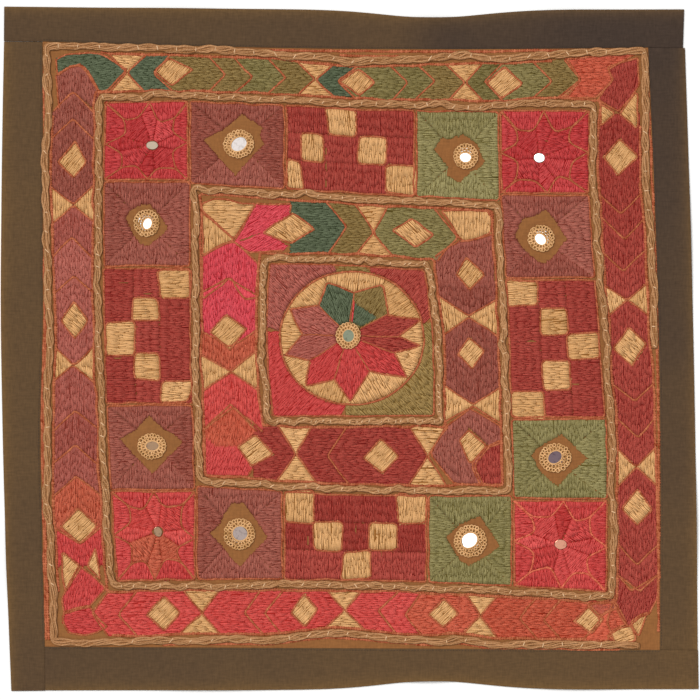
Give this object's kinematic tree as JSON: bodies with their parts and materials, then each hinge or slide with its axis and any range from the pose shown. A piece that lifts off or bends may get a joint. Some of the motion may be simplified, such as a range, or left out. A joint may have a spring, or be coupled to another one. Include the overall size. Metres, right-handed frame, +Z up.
{
  "type": "embroidered tablecloth",
  "caption": "Square cotton tablecloth lying flat, covered in folk mirror-work embroidery of nested bands, blocks and a centre rosette, inside a plain dark brown border.",
  "frame": {"origin": "middle of the cloth's bounding rectangle, on the surface it lies on", "axes": "+Z up out of the embroidered face, +Y towards the top edge and +X towards the right edge of the cloth as pictured"},
  "size_m": [0.75, 0.736, 0.005],
  "materials": {
    "ground_cloth": "brown cotton, stitched nearly all over in cream, crimson, maroon, mauve, green, teal and rust thread",
    "border_cloth": "plain dark brown cotton, faded towards its edges",
    "cord_yarn": "flat taupe yarn cord, couched down",
    "mirror_glass": "old silvered glass",
    "ring_thread": "cream needle-lace thread"
  },
  "bodies": {
    "root": {"panel": "ground_cloth", "border_top": "border_cloth", "border_right": "border_cloth", "border_bottom": "border_cloth", "border_left": "border_cloth", "cord_edge": "cord_yarn", "cord_outer": "cord_yarn", "cord_middle": "cord_yarn", "cord_inner": "cord_yarn", "mirror_corner_top_left": "mirror_glass", "mirror_corner_top_right": "mirror_glass", "mirror_corner_bottom_right": "mirror_glass", "mirror_corner_bottom_left": "mirror_glass", "mirror_top_left": "mirror_glass", "mirror_top_right": "mirror_glass", "mirror_right_upper": "mirror_glass", "mirror_right_lower": "mirror_glass", "mirror_bottom_right": "mirror_glass", "mirror_bottom_left": "mirror_glass", "mirror_left_lower": "mirror_glass", "mirror_left_upper": "mirror_glass", "mirror_centre": "mirror_glass", "ring_top_left": "ring_thread", "ring_top_right": "ring_thread", "ring_right_upper": "ring_thread", "ring_right_lower": "ring_thread", "ring_bottom_right": "ring_thread", "ring_bottom_left": "ring_thread", "ring_left_lower": "ring_thread", "ring_left_upper": "ring_thread", "ring_centre": "ring_thread"}
  },
  "joints": []
}
